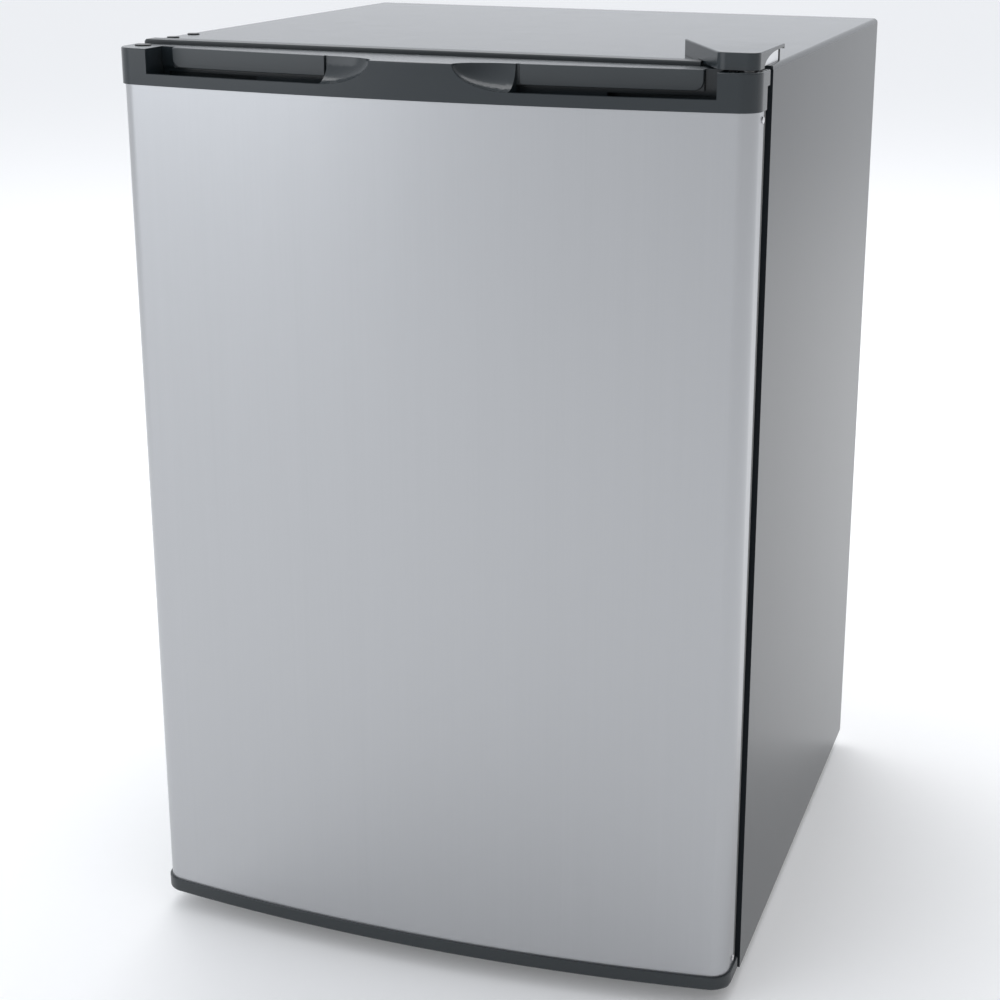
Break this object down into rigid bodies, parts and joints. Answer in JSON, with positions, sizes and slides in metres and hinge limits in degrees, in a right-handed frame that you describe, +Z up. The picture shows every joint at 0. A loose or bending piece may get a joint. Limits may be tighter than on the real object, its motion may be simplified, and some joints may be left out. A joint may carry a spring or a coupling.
{
  "type": "compact refrigerator",
  "caption": "Compact single-door refrigerator: bowed stainless door hinged at the right with finger pockets in its top cap, dark steel cabinet, fitted interior and rear condenser.",
  "frame": {"origin": "on the floor, under the middle of the appliance's overall box", "axes": "+X to the right of a person who faces the door, -Y out of the door, +Z up"},
  "size_m": [0.52, 0.56, 0.7795],
  "materials": {
    "wrapper_paint": "gloss",
    "black_plastic": "gloss",
    "black_steel": "satin",
    "stainless": "satin",
    "zinc_sheet": "satin",
    "foam": "matte",
    "white_liner": "satin",
    "clear_plastic": "gloss",
    "shelf_glass": "gloss",
    "rubber": "matte",
    "gasket": "matte",
    "copper": "satin",
    "cold_plate": "satin",
    "lamp": "gloss",
    "grey_plastic": "satin",
    "tray_plastic": "matte",
    "screw_steel": "polished"
  },
  "bodies": {
    "cabinet": {"outer_wrapper": "wrapper_paint", "top_front_trim": "black_plastic", "back_panel": "zinc_sheet", "base_pan": "zinc_sheet", "foam_left": "foam", "foam_right": "foam", "foam_top": "foam", "foam_back": "foam", "foam_floor": "foam", "foam_step": "foam", "inner_liner": "white_liner", "compressor": "black_steel", "compressor_plate": "zinc_sheet", "compressor_grommets": "rubber", "compressor_bolts": "screw_steel", "relay_box": "tray_plastic", "evaporation_pan": "tray_plastic", "condenser_tube": "black_steel", "condenser_wires": "black_steel", "condenser_brackets": "tray_plastic", "filter_drier": "copper", "refrigerant_lines": "copper", "evaporator_plate": "cold_plate", "drain_trough": "white_liner", "thermostat_housing": "white_liner", "lamp_lens": "clear_plastic", "lamp_bulb": "lamp", "switch_housing": "white_liner", "lower_shelf_glass": "shelf_glass", "upper_shelf_glass": "shelf_glass", "crisper_cover_glass": "shelf_glass", "shelf_trims": "white_liner", "upper_hinge": "zinc_sheet", "hinge_cover": "black_plastic", "lower_hinge": "black_steel", "hinge_screws": "screw_steel", "cabinet_plugs": "black_plastic", "rear_feet": "rubber", "cord_gland": "rubber"},
    "door": {"door_skin": "stainless", "door_foam": "foam", "door_bottom_trim": "black_plastic", "door_top_cap": "black_plastic", "left_handle_plate": "grey_plastic", "right_handle_plate": "grey_plastic", "door_frame": "black_plastic", "door_liner": "white_liner", "door_gasket": "gasket", "bottle_bin": "white_liner", "lower_door_bin": "white_liner", "upper_door_bin": "white_liner", "can_rack": "white_liner", "hinge_bushes": "tray_plastic", "door_cap_plug": "black_plastic", "skin_screws": "screw_steel"},
    "crisper": {"crisper_drawer": "clear_plastic"},
    "thermostat": {"thermostat_knob": "white_liner"},
    "light_switch": {"switch_plunger": "white_liner"},
    "left_foot": {"front_foot_left": "rubber"},
    "right_foot": {"front_foot_right": "rubber"}
  },
  "joints": [
    {"name": "door_swing", "type": "hinge", "parent": "cabinet", "child": "door", "pos_m": [0.247, -0.238, 0.4], "axis": [0, 0, 1], "range_deg": [0, 115]},
    {"name": "crisper_slide", "type": "slide", "parent": "cabinet", "child": "crisper", "axis": [0, -1, 0], "range_m": [0, 0.15]},
    {"name": "thermostat_turn", "type": "hinge", "parent": "cabinet", "child": "thermostat", "pos_m": [0.148, 0.01, 0.698], "axis": [0, -1, 0], "range_deg": [0, 270]},
    {"name": "light_switch_press", "type": "slide", "parent": "cabinet", "child": "light_switch", "axis": [0, -1, 0], "range_m": [0, 0.004]},
    {"name": "left_foot_level", "type": "slide", "parent": "cabinet", "child": "left_foot", "axis": [0, 0, 1], "range_m": [0, 0.006]},
    {"name": "right_foot_level", "type": "slide", "parent": "cabinet", "child": "right_foot", "axis": [0, 0, 1], "range_m": [0, 0.006]}
  ],
  "couplings": [
    {"joint": "crisper_slide", "follows": "door_swing", "m_per_rad": 0.0747},
    {"joint": "light_switch_press", "follows": "door_swing", "m_per_rad": 0.0019}
  ]
}
